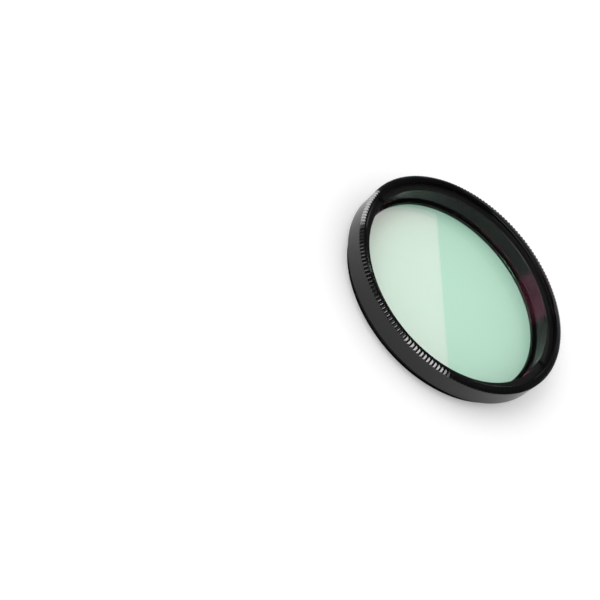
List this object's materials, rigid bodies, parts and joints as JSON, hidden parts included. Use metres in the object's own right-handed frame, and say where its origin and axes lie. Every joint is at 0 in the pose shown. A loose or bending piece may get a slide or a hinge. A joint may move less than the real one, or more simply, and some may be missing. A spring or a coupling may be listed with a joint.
{
  "type": "uv-ir cut filter",
  "caption": "Round screw-in optical filter: a black anodised cell with a knurled front edge, a coated glass disc and a slotted retaining ring, with a thread at the rear and at the front.",
  "frame": {"origin": "centre of the rear end of the male thread, on which the filter rests, which is also the bottom centre of its box", "axes": "+Z along the optical axis, out of the front face with the knurled edge; +X through one of the ring's two spanner slots; +Y square to both"},
  "size_m": [0.05, 0.05, 0.0068],
  "materials": {
    "anodised_black": "satin black anodised aluminium",
    "coated_glass": "polished optical glass with a pale green interference coating",
    "anodised_ring": "matt black anodised aluminium"
  },
  "bodies": {
    "root": {"filter_cell": "anodised_black", "filter_glass": "coated_glass", "retaining_ring": "anodised_ring"}
  },
  "joints": []
}
